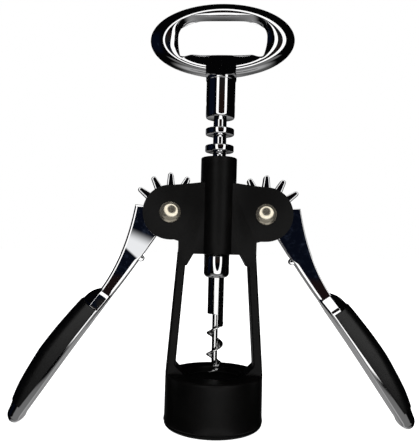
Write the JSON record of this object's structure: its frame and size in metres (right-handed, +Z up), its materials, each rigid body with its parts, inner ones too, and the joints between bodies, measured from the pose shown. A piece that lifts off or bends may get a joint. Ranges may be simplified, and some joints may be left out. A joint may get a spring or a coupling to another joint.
{
  "type": "wing corkscrew",
  "caption": "Wing corkscrew: a black frame and bell, toothed levers with soft grips, and a ringed spindle that carries the worm below and a cap-lifter ring on top.",
  "frame": {"origin": "middle of the foot ring that the bell stands on, at table height", "axes": "+Z up along the spindle towards the opener ring, +X towards the right lever as seen from the front, -Y towards the viewer of the front"},
  "size_m": [0.1664, 0.0406, 0.1722],
  "materials": {
    "black_casting": "satin black",
    "black_nylon": "satin black",
    "dark_chrome": "mirror polished plating",
    "worm_steel": "bright drawn steel",
    "warm_nickel": "warm nickel plating",
    "soft_grip": "matte black soft touch"
  },
  "bodies": {
    "frame": {"frame_casting": "black_casting", "bell_liner": "black_nylon", "pivot_rivet_left": "warm_nickel", "pivot_rivet_right": "warm_nickel", "rivet_washer_left": "warm_nickel", "rivet_washer_right": "warm_nickel"},
    "left_lever": {"lever_left": "dark_chrome", "grip_left": "soft_grip"},
    "right_lever": {"lever_right": "dark_chrome", "grip_right": "soft_grip"},
    "sleeve": {"guide_sleeve": "black_nylon"},
    "spindle": {"rack_spindle": "dark_chrome", "opener_handle": "dark_chrome", "handle_pin": "worm_steel", "worm": "worm_steel", "worm_pin": "worm_steel"}
  },
  "joints": [
    {"name": "left_lever_swing", "type": "hinge", "parent": "frame", "child": "left_lever", "pos_m": [-0.01935, 0, 0.086], "axis": [0, 1, 0], "range_deg": [-33.2, 108]},
    {"name": "right_lever_swing", "type": "hinge", "parent": "frame", "child": "right_lever", "pos_m": [0.01935, 0, 0.086], "axis": [0, -1, 0], "range_deg": [-33.2, 108]},
    {"name": "spindle_spin", "type": "hinge", "parent": "frame", "child": "sleeve", "pos_m": [0, 0, 0.1], "axis": [0, 0, 1], "continuous": true},
    {"name": "spindle_slide", "type": "slide", "parent": "sleeve", "child": "spindle", "axis": [0, 0, 1], "range_m": [-0.0283, 0.0088]}
  ],
  "couplings": [
    {"joint": "right_lever_swing", "follows": "left_lever_swing", "ratio": 1},
    {"joint": "spindle_slide", "follows": "left_lever_swing", "m_per_rad": -0.01492}
  ]
}
